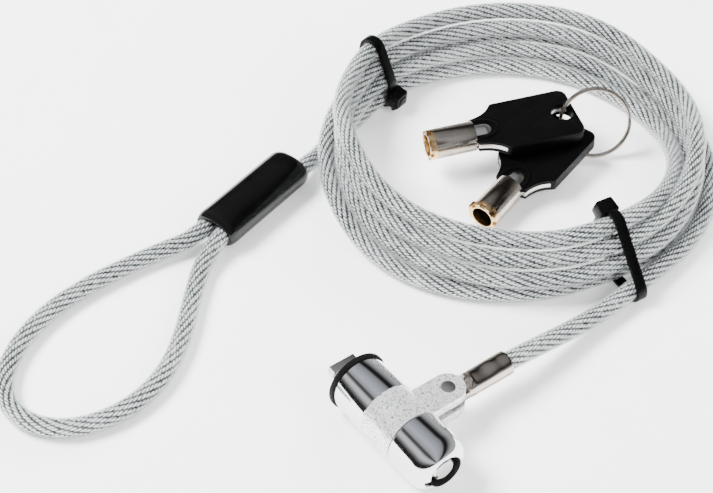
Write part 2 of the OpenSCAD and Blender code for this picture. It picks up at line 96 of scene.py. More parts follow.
def mottled(name, light, dark, metallic, rough, scale, grain, depth, **more):
    """A surface with a fine change of colour and roughness, and a shallow grain."""
    m, n, l, s = material(name, light, metallic, rough[0], **more)
    co = object_coords(n)
    a = noise(n, scale, 5, 0.6, co, l)
    c = ramp(n, [(0.3, dark), (0.7, light)])
    l.new(a.outputs["Fac"], c.inputs["Fac"])
    l.new(c.outputs["Color"], s.inputs["Base Color"])
    r = n.new("ShaderNodeMapRange")
    r.inputs["To Min"].default_value, r.inputs["To Max"].default_value = rough
    l.new(a.outputs["Fac"], r.inputs["Value"])
    l.new(r.outputs["Result"], s.inputs["Roughness"])
    g = noise(n, grain, 3, 0.6, co, l)
    bump(n, l, g.outputs["Fac"], s, depth)
    return m


def wire_rope():
    """Galvanised wires: each strand's fine wires run across its length, with painted shade in the grooves
    between strands and painted highlight dashes on the wires.
    """
    m, n, l, s = material("wire_rope", (0.62, 0.65, 0.65), 0.6, 0.26)
    uv = n.new("ShaderNodeUVMap")
    uv.uv_map = "UVMap"
    sep = n.new("ShaderNodeSeparateXYZ")
    l.new(uv.outputs["UV"], sep.inputs["Vector"])

    def math_node(op, a, b=None, c=None):
        x = n.new("ShaderNodeMath")
        x.operation = op
        for i, v in enumerate((a, b, c)):
            if v is None:
                continue
            if isinstance(v, (int, float)):
                x.inputs[i].default_value = v
            else:
                l.new(v, x.inputs[i])
        return x.outputs["Value"]

    # u is millimetres along the rope, v is the turn round it measured with the strands.
    # The wires cross each strand at a slant; the base colour paints their highlight as short bright dashes.
    u, v = sep.outputs["X"], sep.outputs["Y"]
    wires = math_node("MULTIPLY_ADD", v, WIRES * STRANDS, math_node("MULTIPLY", u, -WIRE_SLANT))
    wave = math_node("SINE", math_node("MULTIPLY", wires, 2 * math.pi))
    # the wires' height gives the bump, and also paints their highlight dashes into the colour
    height = math_node("MULTIPLY_ADD", wave, 0.5, 0.5)
    # painted shade: the colour darkens towards the grooves between strands and is lighter on their crests
    painted_groove_shade = math_node("COSINE", math_node("MULTIPLY", v, 2 * math.pi * STRANDS))
    painted_groove_shade = math_node("MULTIPLY_ADD", painted_groove_shade, 0.5, 0.5)
    co = object_coords(n)
    spot = noise(n, 1100, 2, 0.6, co, l)
    patch = noise(n, 90, 2, 0.5, co, l)
    # the ramp runs from painted groove shade, near black, to a painted white highlight
    c = ramp(n, [
        (0.08, (0.008, 0.01, 0.011)), (0.3, (0.16, 0.18, 0.18)),
        (0.44, (0.62, 0.66, 0.66)), (0.6, (1.0, 1.0, 1.0)),
    ])
    # the tone holds the painted shade and highlight, plus random spots and patches of the wires' own tone
    tone_and_painted_light = math_node("MULTIPLY", height, painted_groove_shade)
    tone_and_painted_light = math_node("MULTIPLY_ADD", tone_and_painted_light, 0.75, math_node("MULTIPLY", painted_groove_shade, 0.12))
    tone_and_painted_light = math_node("MULTIPLY_ADD", spot.outputs["Fac"], 0.8, math_node("SUBTRACT", tone_and_painted_light, 0.24))
    tone_and_painted_light = math_node("MULTIPLY_ADD", patch.outputs["Fac"], 0.3, math_node("SUBTRACT", tone_and_painted_light, 0.14))
    l.new(tone_and_painted_light, c.inputs["Fac"])
    l.new(c.outputs["Color"], s.inputs["Base Color"])
    bump(n, l, height, s, 0.00016, 1.0)
    return m


def clear_jacket():
    """Clear PVC: glossy, a little milky, and thicker looking at its rim, where its grey is also painted shade
    in the slots between turns.
    """
    m, n, l, s = material("clear_jacket", (0.26, 0.29, 0.29), 0.0, 0.07, IOR=2.0)
    rim = n.new("ShaderNodeLayerWeight")
    rim.inputs["Blend"].default_value = 0.35
    co = object_coords(n)
    haze = noise(n, 350, 3, 0.6, co, l)
    # the near-opaque grey at the rim is partly the jacket's thickness and partly painted shade between the
    # turns
    a = n.new("ShaderNodeMapRange")
    a.inputs["From Min"].default_value = 0.3
    a.inputs["From Max"].default_value = 0.8
    a.inputs["To Min"].default_value = 0.07
    a.inputs["To Max"].default_value = 0.9
    l.new(rim.outputs["Facing"], a.inputs["Value"])
    l.new(a.outputs["Result"], s.inputs["Alpha"])
    r = n.new("ShaderNodeMapRange")
    r.inputs["To Min"].default_value, r.inputs["To Max"].default_value = 0.04, 0.14
    l.new(haze.outputs["Fac"], r.inputs["Value"])
    l.new(r.outputs["Result"], s.inputs["Roughness"])
    return m


def cast_zinc():
    """Granular cast zinc: grey grains, and bright facets that are painted glints in the base colour."""
    m, n, l, s = material("cast_zinc", (0.6, 0.61, 0.62), 0.72, 0.27)
    co = object_coords(n)
    v = n.new("ShaderNodeTexVoronoi")
    v.inputs["Scale"].default_value = 3400
    l.new(co, v.inputs["Vector"])
    grain = noise(n, 1500, 2, 0.5, co, l)
    grain_and_painted_glint = n.new("ShaderNodeMath")
    grain_and_painted_glint.operation = "MULTIPLY_ADD"
    l.new(grain.outputs["Fac"], grain_and_painted_glint.inputs[0])
    grain_and_painted_glint.inputs[1].default_value = 0.9
    sep = n.new("ShaderNodeSeparateColor")
    l.new(v.outputs["Color"], sep.inputs["Color"])
    half = n.new("ShaderNodeMath")
    half.operation = "MULTIPLY"
    half.inputs[1].default_value = 0.55
    l.new(sep.outputs["Red"], half.inputs[0])
    l.new(half.outputs["Value"], grain_and_painted_glint.inputs[2])
    # the lower stops are the grain's own grey; the top of the ramp paints glints as white facets
    c = ramp(n, [
        (0.34, (0.2, 0.205, 0.21)), (0.5, (0.5, 0.51, 0.52)),
        (0.64, (0.85, 0.86, 0.87)), (0.8, (1.0, 1.0, 1.0)),
    ])
    l.new(grain_and_painted_glint.outputs["Value"], c.inputs["Fac"])
    l.new(c.outputs["Color"], s.inputs["Base Color"])
    bump(n, l, grain_and_painted_glint.outputs["Value"], s, 0.00012, 0.75)
    return m


def floor_material():
    m, n, l, s = material("floor_paper", (0.93, 0.93, 0.93), 0.0, 0.75)
    a = noise(n, 60, 3, 0.5, object_coords(n), l)
    c = ramp(n, [(0.2, (0.92, 0.92, 0.92)), (0.8, (0.95, 0.95, 0.95))])
    l.new(a.outputs["Fac"], c.inputs["Fac"])
    l.new(c.outputs["Color"], s.inputs["Base Color"])
    s.inputs["Emission Color"].default_value = (1, 1, 1, 1)
    s.inputs["Emission Strength"].default_value = 0.35
    return m


STRANDS, WIRES, LAY = 9, 2, 30.0  # the lay is in millimetres, and left-handed
WIRE_SLANT = 1.15  # wires crossed in each millimetre along the rope
ROPE = wire_rope()
JACKET = clear_jacket()
ZINC = cast_zinc()
CHROME = mottled("bright_chrome", (0.88, 0.89, 0.91), (0.8, 0.81, 0.84), 1.0, (0.05, 0.11), 90, 900, 4e-6)
NICKEL = mottled("warm_nickel", (0.58, 0.52, 0.46), (0.42, 0.37, 0.32), 1.0, (0.12, 0.22), 220, 900, 1e-5)
PALE_NICKEL = mottled(
    "pale_nickel", (0.72, 0.71, 0.67), (0.6, 0.59, 0.56), 1.0, (0.22, 0.36), 260, 900, 1.5e-5
)
STEEL = mottled("plain_steel", (0.62, 0.63, 0.64), (0.52, 0.53, 0.54), 1.0, (0.25, 0.4), 300, 1100, 1.2e-5)
BRASS = mottled("turned_brass", (0.8, 0.6, 0.3), (0.66, 0.47, 0.22), 1.0, (0.18, 0.32), 300, 1100, 1.2e-5)
# painted shade: a near-black steel for the keyway's inside and the inner sleeve, standing in for the shade in
# the recess
KEYWAY_PAINTED_SHADE = mottled(
    "keyway_painted_shade", (0.03, 0.03, 0.032), (0.015, 0.015, 0.016), 0.6, (0.5, 0.65), 300, 1100, 1.2e-5
)
RIM_BRASS = mottled("rim_brass", (0.86, 0.62, 0.36), (0.6, 0.38, 0.16), 1.0, (0.14, 0.28), 500, 1100, 1e-5)
ALUMINIUM = mottled(
    "pressed_aluminium", (0.77, 0.77, 0.78), (0.7, 0.7, 0.71), 1.0, (0.3, 0.45), 300, 900, 1.5e-5
)
RUBBER = mottled(
    "gasket_rubber", (0.005, 0.005, 0.005), (0.003, 0.003, 0.003), 0.0, (0.5, 0.65), 400, 1500, 2e-5,
    Specular_IOR_Level=0.1,
)
BLACK, BLACKER = (0.0015, 0.0015, 0.0016), (0.001, 0.001, 0.001)
SLEEVE = mottled(
    "sleeve_plastic", BLACK, BLACKER, 0.0, (0.12, 0.2), 160, 700, 6e-6, Specular_IOR_Level=0.25
)
NYLON = mottled("tie_nylon", BLACK, BLACKER, 0.0, (0.22, 0.34), 300, 1200, 1e-5, Specular_IOR_Level=0.08)
GRIP = mottled("grip_plastic", BLACK, BLACKER, 0.0, (0.34, 0.46), 200, 1800, 2e-5, Specular_IOR_Level=0.08)
FLOOR = floor_material()


# ---------------------------------------------------------------- mesh helpers
def mesh_object(name, verts, faces, mats, body, uvs=None, face_mats=None, scale=MM):
    me = bpy.data.meshes.new(name)
    me.from_pydata([tuple(float(c) * scale for c in v) for v in verts], [], faces)
    for m in mats:
        me.materials.append(m)
    if face_mats is not None:
        me.polygons.foreach_set("material_index", face_mats)
    if uvs is not None:
        layer = me.uv_layers.new(name="UVMap")
        layer.data.foreach_set("uv", np.array(uvs, float).ravel())
    me.validate()
    me.update()
    ob = bpy.data.objects.new(name, me)
    bpy.context.scene.collection.objects.link(ob)
    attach(ob, body)
    return ob


def shade(ob, angle=32):
    """Smooth shading, with edges sharper than the angle left sharp."""
    bm = bmesh.new()
    bm.from_mesh(ob.data)
    for f in bm.faces:
        f.smooth = True
    for e in bm.edges:
        e.smooth = len(e.link_faces) != 2 or e.calc_face_angle(0) < math.radians(angle)
    bm.to_mesh(ob.data)
    bm.free()
    return ob


def outward(ob):
    bm = bmesh.new()
    bm.from_mesh(ob.data)
    bmesh.ops.recalc_face_normals(bm, faces=bm.faces)
    bm.to_mesh(ob.data)
    bm.free()
    return ob


def modify(ob, kind, **values):
    """Adds a modifier and applies it."""
    mod = ob.modifiers.new(kind, kind)
    for k, v in values.items():
        setattr(mod, k, v)
    graph = bpy.context.evaluated_depsgraph_get()
    done = bpy.data.meshes.new_from_object(ob.evaluated_get(graph))
    ob.modifiers.clear()
    ob.data = done
    return ob


def dress(node, mat, width, body, segments=2, angle=40, tip=None, keyway=None, shape=None):
    """A copy of a CAD node with its edges rounded, in place of the node. tip is a second material
    behind a plane, as (material, point, normal), keyway is one inside a radius round the X axis,
    as (material, radius), and shape is a function that edits the bmesh."""
    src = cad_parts[node]
    me = src.data.copy()
    ob = bpy.data.objects.new(node + "_look", me)
    bpy.context.scene.collection.objects.link(ob)
    me.materials.clear()
    me.materials.append(mat)
    for other in (tip, keyway):
        if other:
            me.materials.append(other[0])
    bm = bmesh.new()
    bm.from_mesh(me)
    bmesh.ops.remove_doubles(bm, verts=bm.verts, dist=2e-6)
    bmesh.ops.dissolve_limit(bm, angle_limit=math.radians(1.0), verts=bm.verts, edges=bm.edges)
    for f in bm.faces:
        f.material_index = 0
    if shape:
        shape(bm)
    if tip:
        point, normal = Vector(tip[1]) * MM, Vector(tip[2])
        everything = bm.verts[:] + bm.edges[:] + bm.faces[:]
        bmesh.ops.bisect_plane(bm, geom=everything, plane_co=point, plane_no=normal)
        for f in bm.faces:
            f.material_index = int((f.calc_center_median() - point).dot(normal) < 0)
    if keyway:
        for f in bm.faces:
            c = f.calc_center_median()
            f.material_index = int(math.hypot(c.y, c.z) < keyway[1] * MM)
    bm.to_mesh(me)
    bm.free()
    if width:
        modify(ob, "BEVEL", width=width * MM, segments=segments, limit_method="ANGLE",
               angle_limit=math.radians(angle), harden_normals=False)
    shade(ob, 30)
    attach(ob, body)
    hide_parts(node)
    return ob


def paint(node, mat):
    """A CAD node keeps its shape and takes a material."""
    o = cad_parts[node]
    o.data.materials.clear()
    o.data.materials.append(mat)


def gauss(a, sigma):
    k = np.arange(-int(3 * sigma), int(3 * sigma) + 1)
    w = np.exp(-0.5 * (k / sigma) ** 2)
    w /= w.sum()
    pad = len(k) // 2
    return np.convolve(np.pad(a, pad, mode="edge"), w, mode="valid")


def spline(points, step):
    """A centripetal Catmull-Rom curve through the points, resampled at an even step."""
    p = np.array(points, float)
    p = np.vstack([2 * p[0] - p[1], p, 2 * p[-1] - p[-2]])
    out = []
    for i in range(1, len(p) - 2):
        a, b, c, e = p[i - 1], p[i], p[i + 1], p[i + 2]
        t0 = 0.0
        t1 = t0 + np.linalg.norm(b - a) ** 0.5
        t2 = t1 + np.linalg.norm(c - b) ** 0.5
        t3 = t2 + np.linalg.norm(e - c) ** 0.5
        n = max(2, int(np.linalg.norm(c - b) / 0.4))
        t = np.linspace(t1, t2, n, endpoint=False)[:, None]
        a1 = (t1 - t) / (t1 - t0) * a + (t - t0) / (t1 - t0) * b
        a2 = (t2 - t) / (t2 - t1) * b + (t - t1) / (t2 - t1) * c
        a3 = (t3 - t) / (t3 - t2) * c + (t - t2) / (t3 - t2) * e
        b1 = (t2 - t) / (t2 - t0) * a1 + (t - t0) / (t2 - t0) * a2
        b2 = (t3 - t) / (t3 - t1) * a2 + (t - t1) / (t3 - t1) * a3
        out.append((t2 - t) / (t2 - t1) * b1 + (t - t1) / (t2 - t1) * b2)
    out.append(p[-2][None, :])
    q = np.vstack(out)
    seg = np.r_[0, np.cumsum(np.linalg.norm(np.diff(q, axis=0), axis=1))]
    n = int(seg[-1] / step) + 1
    at = np.linspace(0, seg[-1], n)
    return np.column_stack([np.interp(at, seg, q[:, k]) for k in range(3)]), seg[-1]


def carried_frames(p):
    """Tangents, and side and up vectors carried along without twist."""
    t = np.gradient(p, axis=0)
    t /= np.linalg.norm(t, axis=1)[:, None]
    side = np.zeros_like(p)
    side[0] = np.cross(t[0], [0, 0, 1])
    side[0] /= np.linalg.norm(side[0])
    for i in range(1, len(p)):
        v = side[i - 1] - t[i] * np.dot(side[i - 1], t[i])
        side[i] = v / np.linalg.norm(v)
    return t, side, np.cross(side, t)


def tube_rings(p, radius_of, sides, twist):
    """Vertices of rings round the path. radius_of gives each corner's radius from its angle."""
    _, side, up = carried_frames(p)
    ang = np.arange(sides) * 2 * math.pi / sides
    r = radius_of(ang)
    a = ang[None, :] + twist[:, None]
    return p[:, None, :] + r[None, :, None] * (
        np.cos(a)[..., None] * side[:, None, :] + np.sin(a)[..., None] * up[:, None, :]
    )


def tube_faces(rings, sides, base):
    quads = []
    for i in range(rings - 1):
        a, b = base + i * sides, base + (i + 1) * sides
        quads += [(a + k, b + k, b + (k + 1) % sides, a + (k + 1) % sides) for k in range(sides)]
    return quads


# ---------------------------------------------------------------- the cable's route
D, R = 4.4, 41.8
JACKET_R = D / 2 - 0.03  # just inside the CAD cord
COIL = np.array([-34.8, 74.3])
START = -5.5  # where the first turn begins, in degrees
TIES = (194.5, -7.5)
LIE = Z0 + D / 2 + 0.02


def smooth(x):
    x = np.clip(x, 0, 1)
    return x * x * (3 - 2 * x)


def coil_profile():
    """Radius and height of the coil at every degree along it. Each turn rests on those under it."""
    deg = np.arange(0, 4 * 360 + 1)
    s = deg / 360
    k = np.floor(s)
    place = np.clip(np.where(s < 1, 0, k - 1 + smooth((s - k) / 0.3)), 0, 3)
    cam = np.radians(START - 53.5 + deg)
    # the first turn lies on the surface, and comes round inside its own beginning
    first = np.where(s < 1, 4.1 - 4.5 * smooth((deg - 285) / 65), -0.4)
    rho = R + first + (0.1 - first) * np.clip(place, 0, 1)
    rho = rho + np.interp(place, range(4), [0, -1.3, 1.5, 4.3]) * np.sin(cam)

    def rise(x):  # over the ties' straps
        at = (START + x) % 360
        return sum(1.15 * np.exp(-0.5 * (((at - t + 180) % 360 - 180) / 9) ** 2) for t in TIES)

    # the tail leaves the coil along a straight line, and the turns still pass over it there
    leaves, passed = 200, 238
    tail_deg = np.arange(0, passed)
    tail_rho = np.where(
        tail_deg <= leaves,
        np.interp(tail_deg, [0, 59, 119, 149, leaves], [R - 3.6, R - 5, R - 4.6, R - 4.1, R - 1]),
        (R - 1) / np.cos(np.radians(np.clip(tail_deg - leaves, 0, 60))),
    )
    top = 13.6
    tail_z = D / 2 + rise(tail_deg) + (top - D / 2) * (1 - smooth(tail_deg / 105))
    over = tail_deg > 110
    z = np.zeros(len(deg))
    for i, g in enumerate(deg):
        z[i] = D / 2 + rise(g)
        if i < 360:
            z[i] = max(z[i], D / 2 + rise(g) + D * smooth((i - 80) / 50) * (1 - smooth((i - passed) / 45)))
        for j in range(1, i // 360 + 1):
            dr = rho[i] - rho[i - 360 * j]
            if abs(dr) < D:
                z[i] = max(z[i], z[i - 360 * j] + math.sqrt(D * D - dr * dr))
        w = g % 360
        if w < passed and over[w]:
            dr = rho[i] - tail_rho[w]
            if abs(dr) < D:
                z[i] = max(z[i], tail_z[w] + math.sqrt(D * D - dr * dr))
    keep = tail_deg <= leaves
    rho = gauss(np.r_[rho[:-1], tail_rho[keep]], 5)
    z = gauss(np.r_[z[:-1], tail_z[keep]], 6)
    return rho, np.maximum(z, D / 2 + 0.02)


SLEEVE_X, SLEEVE_Y, SLEEVE_Z = -61.0, 15.5, Z0 + 4.2
SLEEVE_TURN = math.radians(106)
SLEEVE_HALF = 14.25  # half its length


def in_sleeve(along, side):
    """A point of the route inside the sleeve, on one side of its middle."""
    c, s = math.cos(SLEEVE_TURN), math.sin(SLEEVE_TURN)
    off = (D + 0.5) / 2
    return (SLEEVE_X + along * c + side * off * s, SLEEVE_Y + along * s - side * off * c, SLEEVE_Z)


LEAD = [
    (15.3, 19.65, 0.0), (15.3, 24.0, 0.0), (15.3, 28.15, 0.0), (15.3, 32.65, -0.3),
    (15.1, 40.0, -1.4), (14.7, 48.0, -2.8), (14.1, 56.0, LIE + 0.9), (13.4, 64.0, LIE + 1.0),
    (12.2, 72.0, LIE + 0.9),
]
LOOP = [
    (-71.1, 52.5, LIE + 0.2), (-67.6, 41.5, LIE), (-65.4, 36.6, LIE + 0.5),
    in_sleeve(17.0, 1), in_sleeve(14.25, 1), in_sleeve(5, 1), in_sleeve(-5, 1), in_sleeve(-14.25, 1),
    (-52.8, -2.0, LIE + 0.8), (-50.3, -6.0, LIE + 0.2), (-46.5, -10.0, LIE), (-42.0, -14.3, LIE),
    (-36.5, -19.5, LIE), (-31.3, -25.5, LIE), (-27.2, -32.5, LIE), (-25.2, -40.0, LIE),
    (-25.6, -47.5, LIE), (-28.4, -54.2, LIE), (-33.8, -58.8, LIE), (-40.5, -60.0, LIE),
    (-47.0, -57.8, LIE), (-52.5, -52.8, LIE), (-56.8, -46.0, LIE), (-59.5, -38.5, LIE),
    (-60.8, -30.5, LIE), (-61.1, -23.0, LIE), (-60.9, -16.0, LIE), (-60.2, -9.5, LIE + 0.3),
    (-59.3, -4.0, LIE + 0.8), in_sleeve(-14.25, -1), in_sleeve(-5, -1), in_sleeve(9.5, -1),
]
rho, height = coil_profile()
at = np.arange(14, len(rho), 6)
ang = np.radians(START + at)
coil = np.column_stack([COIL[0] + rho[at] * np.cos(ang), COIL[1] + rho[at] * np.sin(ang), Z0 + height[at]])
route, route_len = spline(LEAD + [tuple(c) for c in coil] + LOOP, 0.9)


def cable():
    """The rope's laid strands and the clear jacket round them, as one piece."""
    strand_c, strand_r = 1.42, 0.54

    def lobes(a):
        f = (a + math.pi / STRANDS) % (2 * math.pi / STRANDS) - math.pi / STRANDS
        return strand_c * np.cos(f) + np.sqrt(strand_r**2 - (strand_c * np.sin(f)) ** 2)

    sides = STRANDS * 5
    n = len(route)
    along = np.linspace(0, route_len, n)
    rope = tube_rings(route, lobes, sides, -2 * math.pi * along / LAY)
    coarse = route[::2] if n % 2 else np.vstack([route[:-1:2], route[-1:]])
    shell_sides = 20
    shell = tube_rings(coarse, lambda a: np.full(len(a), JACKET_R), shell_sides, np.zeros(len(coarse)))
    verts = np.vstack([rope.reshape(-1, 3), shell.reshape(-1, 3)])
    base = n * sides
    faces = tube_faces(n, sides, 0)
    uvs = []
    for i in range(n - 1):
        for k in range(sides):
            a, b = k / sides, (k + 1) / sides
            uvs += [(along[i], a), (along[i + 1], a), (along[i + 1], b), (along[i], b)]
    mats = [0] * len(faces)
    shell_faces = tube_faces(len(coarse), shell_sides, base)
    uvs += [(0, 0), (1, 0), (1, 1), (0, 1)] * len(shell_faces)
    faces += shell_faces
    mats += [1] * len(shell_faces)
    m = len(coarse)
    caps = [
        (tuple(range(sides)), 0), (tuple(range((n - 1) * sides + sides - 1, (n - 1) * sides - 1, -1)), 0),
        (tuple(base + k for k in range(shell_sides)), 1),
        (tuple(base + (m - 1) * shell_sides + k for k in range(shell_sides - 1, -1, -1)), 1),
    ]
    for f, mat in caps:
        faces.append(f)
        mats.append(mat)
        uvs += [(0, 0)] * len(f)
    ob = mesh_object("cable", verts, faces, [ROPE, JACKET], "cable", uvs, mats)
    outward(ob)
    return shade(ob, 60)


# ---------------------------------------------------------------- ties, sleeve
def crossings(turn):
    """(radius, height) of every pass of the cable through the half plane at that angle."""
    a = math.radians(turn)
    e, t = np.array([math.cos(a), math.sin(a)]), np.array([-math.sin(a), math.cos(a)])
    rel = route[:, :2] - COIL
    far, across = rel @ e, rel @ t
    found = []
    for i in range(len(route) - 1):
        if far[i] > 25 and across[i] <= 0 < across[i + 1] and far[i] < 56:
            w = -across[i] / (across[i + 1] - across[i])
            up = route[i, 2] + w * (route[i + 1, 2] - route[i, 2]) - Z0
            found.append((far[i] + w * (far[i + 1] - far[i]), up))
    return np.array(found)


def tie(name, node, turn, head_phi, tail_len):
    """A flat nylon strap hugging the bundle, its ratchet head, and the stub that is left."""
    c = crossings(turn)
    a = math.radians(turn)
    e = np.array([math.cos(a), math.sin(a), 0])
    w = np.array([-math.sin(a), math.cos(a), 0])
    up = np.array([0, 0, 1.0])
    origin = np.array([COIL[0], COIL[1], Z0])
    width, thick = 2.5, 1.05

    def edge(phi, off):
        n = np.array([math.cos(phi), math.sin(phi)])
        best = c[np.argmax(c @ n)]
        q = best + n * (D / 2 + off)
        q[1] = max(q[1], 0.06 + thick - off)
        return q, n

    phis = np.radians(np.arange(0, 360, 4.0))
    verts, faces = [], []
    for phi in phis:
        for off, half in ((0.04, -1), (thick, -1), (thick, 1), (0.04, 1)):
            q, _ = edge(phi, off)
            verts.append(origin + e * q[0] + up * q[1] + w * half * width / 2)
    n = len(phis)
    for i in range(n):
        p, q = 4 * i, 4 * ((i + 1) % n)
        faces += [(p + k, q + k, q + (k + 1) % 4, p + (k + 1) % 4) for k in range(4)]
    strap = mesh_object(name, verts, faces, [NYLON], "cable")
    outward(strap)
    modify(strap, "BEVEL", width=0.22 * MM, segments=2, limit_method="ANGLE", angle_limit=math.radians(50))
    shade(strap)
    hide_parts(node)

    q, nn = edge(head_phi, thick)
    tt = np.array([-nn[1], nn[0]])
    centre = origin + e * q[0] + up * q[1]
    n3, t3 = e * nn[0] + up * nn[1], e * tt[0] + up * tt[1]
    below = max(2.2, 2.0 + tail_len) * abs(t3[2]) + 2.75 * max(0, -n3[2])
    centre[2] = max(centre[2], Z0 + 0.1 + below)

    def block(label, lo, hi, bevel, taper=0.0):
        vs = []
        for i in (lo[0], hi[0]):
            for j in (lo[1], hi[1]):
                for k in (lo[2], hi[2]):
                    f = 1 - (taper if i == hi[0] else 0)
                    vs.append(centre + n3 * i + t3 * j * f + w * k * f)
        fs = [(0, 1, 3, 2), (4, 6, 7, 5), (0, 4, 5, 1), (2, 3, 7, 6), (0, 2, 6, 4), (1, 5, 7, 3)]
        o = mesh_object(label, vs, fs, [NYLON], "cable")
        outward(o)
        modify(o, "BEVEL", width=bevel * MM, segments=3, limit_method="ANGLE", angle_limit=math.radians(30))
        return shade(o, 40)

    head = block(name + "_head", (-1.2, -2.2, -2.35), (2.5, 2.2, 2.35), 0.5, 0.1)
    pawl = block(name + "_pawl", (2.2, -1.0, -1.2), (2.75, 1.0, 1.2), 0.2)
    stub = block(name + "_stub", (0.1, 2.0, -width / 2), (1.1, 2.0 + tail_len, width / 2), 0.2)
    return [strap, head, pawl, stub]


def oval(width, high, count=40):
    """Points round an oval a little fuller than an ellipse, as (side, up)."""
    pts = []
    for i in range(count):
        a = 2 * math.pi * (i + 0.5) / count
        c, s = math.cos(a), math.sin(a)
        side, up = math.copysign(abs(c) ** 0.85, c), math.copysign(abs(s) ** 0.92, s)
        pts.append((width / 2 * side, high / 2 * up))
    return pts


def sleeve():
    """The moulded sleeve over the crimp, with rounded shoulders and a recessed mouth at each end."""
    w, h, half = 11.2, 8.4, SLEEVE_HALF
    mouth_w, mouth_h = 9.55, 4.75
    stations = [
        (-half + 2.0, mouth_w, mouth_h),
        (-half + 0.3, mouth_w + 0.05, mouth_h + 0.05),
        (-half, mouth_w + 0.5, mouth_h + 0.5),
    ]
    for i in range(0, 7):
        f = math.radians(90 * i / 6)
        across, high = w - 1.6 + 1.6 * math.sin(f), h - 2.4 + 2.4 * math.sin(f)
        stations.append((-half + 2.2 - 2.2 * math.cos(f), across, high))
    for x in (-9, -4, 0, 4, 9):
        stations.append((x, w, h))
    stations += [(-x, a, b) for x, a, b in reversed(stations[:10])]
    c, s = math.cos(SLEEVE_TURN), math.sin(SLEEVE_TURN)
    along, side = np.array([c, s, 0]), np.array([s, -c, 0])
    centre = np.array([SLEEVE_X, SLEEVE_Y, SLEEVE_Z])
    verts, faces, count = [], [], 48
    for x, a, b in stations:
        verts += [centre + along * x + side * u + np.array([0, 0, v]) for u, v in oval(a, b, count)]
    for i in range(len(stations) - 1):
        p, q = i * count, (i + 1) * count
        faces += [(p + k, q + k, q + (k + 1) % count, p + (k + 1) % count) for k in range(count)]
    last = (len(stations) - 1) * count
    faces += [tuple(range(count)), tuple(range(last + count - 1, last - 1, -1))]
    ob = mesh_object("loop_sleeve_look", verts, faces, [SLEEVE], "cable")
    outward(ob)
    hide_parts("loop_sleeve")
    return shade(ob, 50)


# ---------------------------------------------------------------- ferrule, keys, ring
def crimp_dents(bm):
    """Presses the crimping tool's dents into the top and bottom of the ferrule's round part."""
    x, r, y0, y1 = 15.3, 2.75, 18.15, 28.15
    dents = ((21.4, 2.0, 0.26), (25.6, 1.2, 0.08))  # place, width and depth
    for y in np.arange(y0 + 0.3, y1 - 0.2, 0.3):
        bmesh.ops.bisect_plane(
            bm, geom=bm.verts[:] + bm.edges[:] + bm.faces[:], plane_co=(x * MM, y * MM, 0), plane_no=(0, 1, 0)
        )
    for v in bm.verts:
        dx, y, z = v.co.x / MM - x, v.co.y / MM, v.co.z / MM
        far = math.hypot(dx, z)
        if far < r - 0.1 or not y0 < y < y1:
            continue
        arc = r * math.asin(min(1, abs(dx) / far))
        dent = sum(d * math.exp(-((y - c) / w) ** 2 - (arc / 2.4) ** 2) for c, w, d in dents)
        flat = 0.12 * math.exp(-((y - y0) / 2.0) ** 2)
        v.co.x -= (dx / far) * (dent + flat) * MM * 0.3
        v.co.z -= (z / far) * (dent + flat) * MM


HOLE_X, TUBE_LEN, GRIP_T = 34.2, 11.6, 3.1
Z_KEY_2 = Z0 + 3.65 + HOLE_X * math.sin(math.radians(4)) + 0.03
KEYS = {  # the ring hole's place, the turn about Z and the tilt of each key
    "key_1": ((-35.3, 88.3, Z_KEY_2 + GRIP_T + 0.6), 69.5, 1.5),
    "key_2": ((-33.8, 87.5, Z_KEY_2), 106.0, 4.0),
}


def key_point(place, p):
    """A point given along a key from its mouth, in the shared frame, in millimetres."""
    at, turn, tilt = place
    m = Matrix.Rotation(math.radians(turn), 4, "Z") @ Matrix.Rotation(math.radians(-tilt), 4, "Y")
    return Vector(at) + m @ (Vector(p) - Vector((HOLE_X, 0, 0)))


def swept(name, path, wire, mat, body, sides=10, flat=1.0, ends=True):
    """A closed round wire along a path, in millimetres. Its ends are drawn in a little."""
    p = np.array(path, float)
    _, side, up = carried_frames(p)
    verts = []
    for i, q in enumerate(p):
        r = wire * (0.6 if ends and i in (0, len(p) - 1) else 1.0)
        for k in range(sides):
            a = 2 * math.pi * k / sides
            verts.append(q + side[i] * r * math.cos(a) + up[i] * r * flat * math.sin(a))
    faces = tube_faces(len(p), sides, 0)
    faces += [tuple(range(sides)), tuple(range(len(verts) - 1, len(verts) - sides - 1, -1))]
    ob = mesh_object(name, verts, faces, [mat], body)
    outward(ob)
    return shade(ob, 50)


def arch_rim(key, place):
    """The raised rim round the stem on the upper face of a key's grip."""
    half, reach = 3.15, 5.9
    path = []
    for i in range(25):
        a = math.radians(-90 + 180 * i / 24)
        x = TUBE_LEN + 0.3 + (reach - 0.3) * max(0, math.cos(a)) ** 0.75
        path.append(key_point(place, (x, half * math.sin(a), GRIP_T / 2 - 0.05)))
    swept(key + "_rim", path, 0.5, GRIP, key)


def split_ring():
    """Two turns of round wire side by side, with the step where one turn crosses to the other."""
    centre_r, lean, turn = 8.4, 66.0, -36.5
    rise = (centre_r + 0.6) * math.sin(math.radians(lean)) + 0.9 * math.cos(math.radians(lean))
    m = Matrix.Rotation(math.radians(turn), 4, "Z") @ Matrix.Rotation(math.radians(lean), 4, "Y")
    path = []
    for i in range(241):
        a = 2 * math.pi * (i / 240 * 1.97 + 0.3)
        across = -0.42 + 0.84 * smooth((i / 240 - 0.46) / 0.08)
        q = m @ Vector((centre_r * math.cos(a), centre_r * math.sin(a), float(across)))
        path.append(q + Vector((-30.0, 94.3, Z0 + rise)))
    ob = swept("split_ring", path, 0.43, NICKEL, "ring", 12)
    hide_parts("key_ring")


# ---------------------------------------------------------------- make everything
the_cable = cable()
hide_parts("cable_lead", "cable_coil", "cable_loop")
the_sleeve = sleeve()
tie_left = tie("tie_left", "cable_tie_left", TIES[0], math.radians(186), 1.6)
tie_right = tie("tie_right", "cable_tie_right", TIES[1], math.radians(160), 3.2)

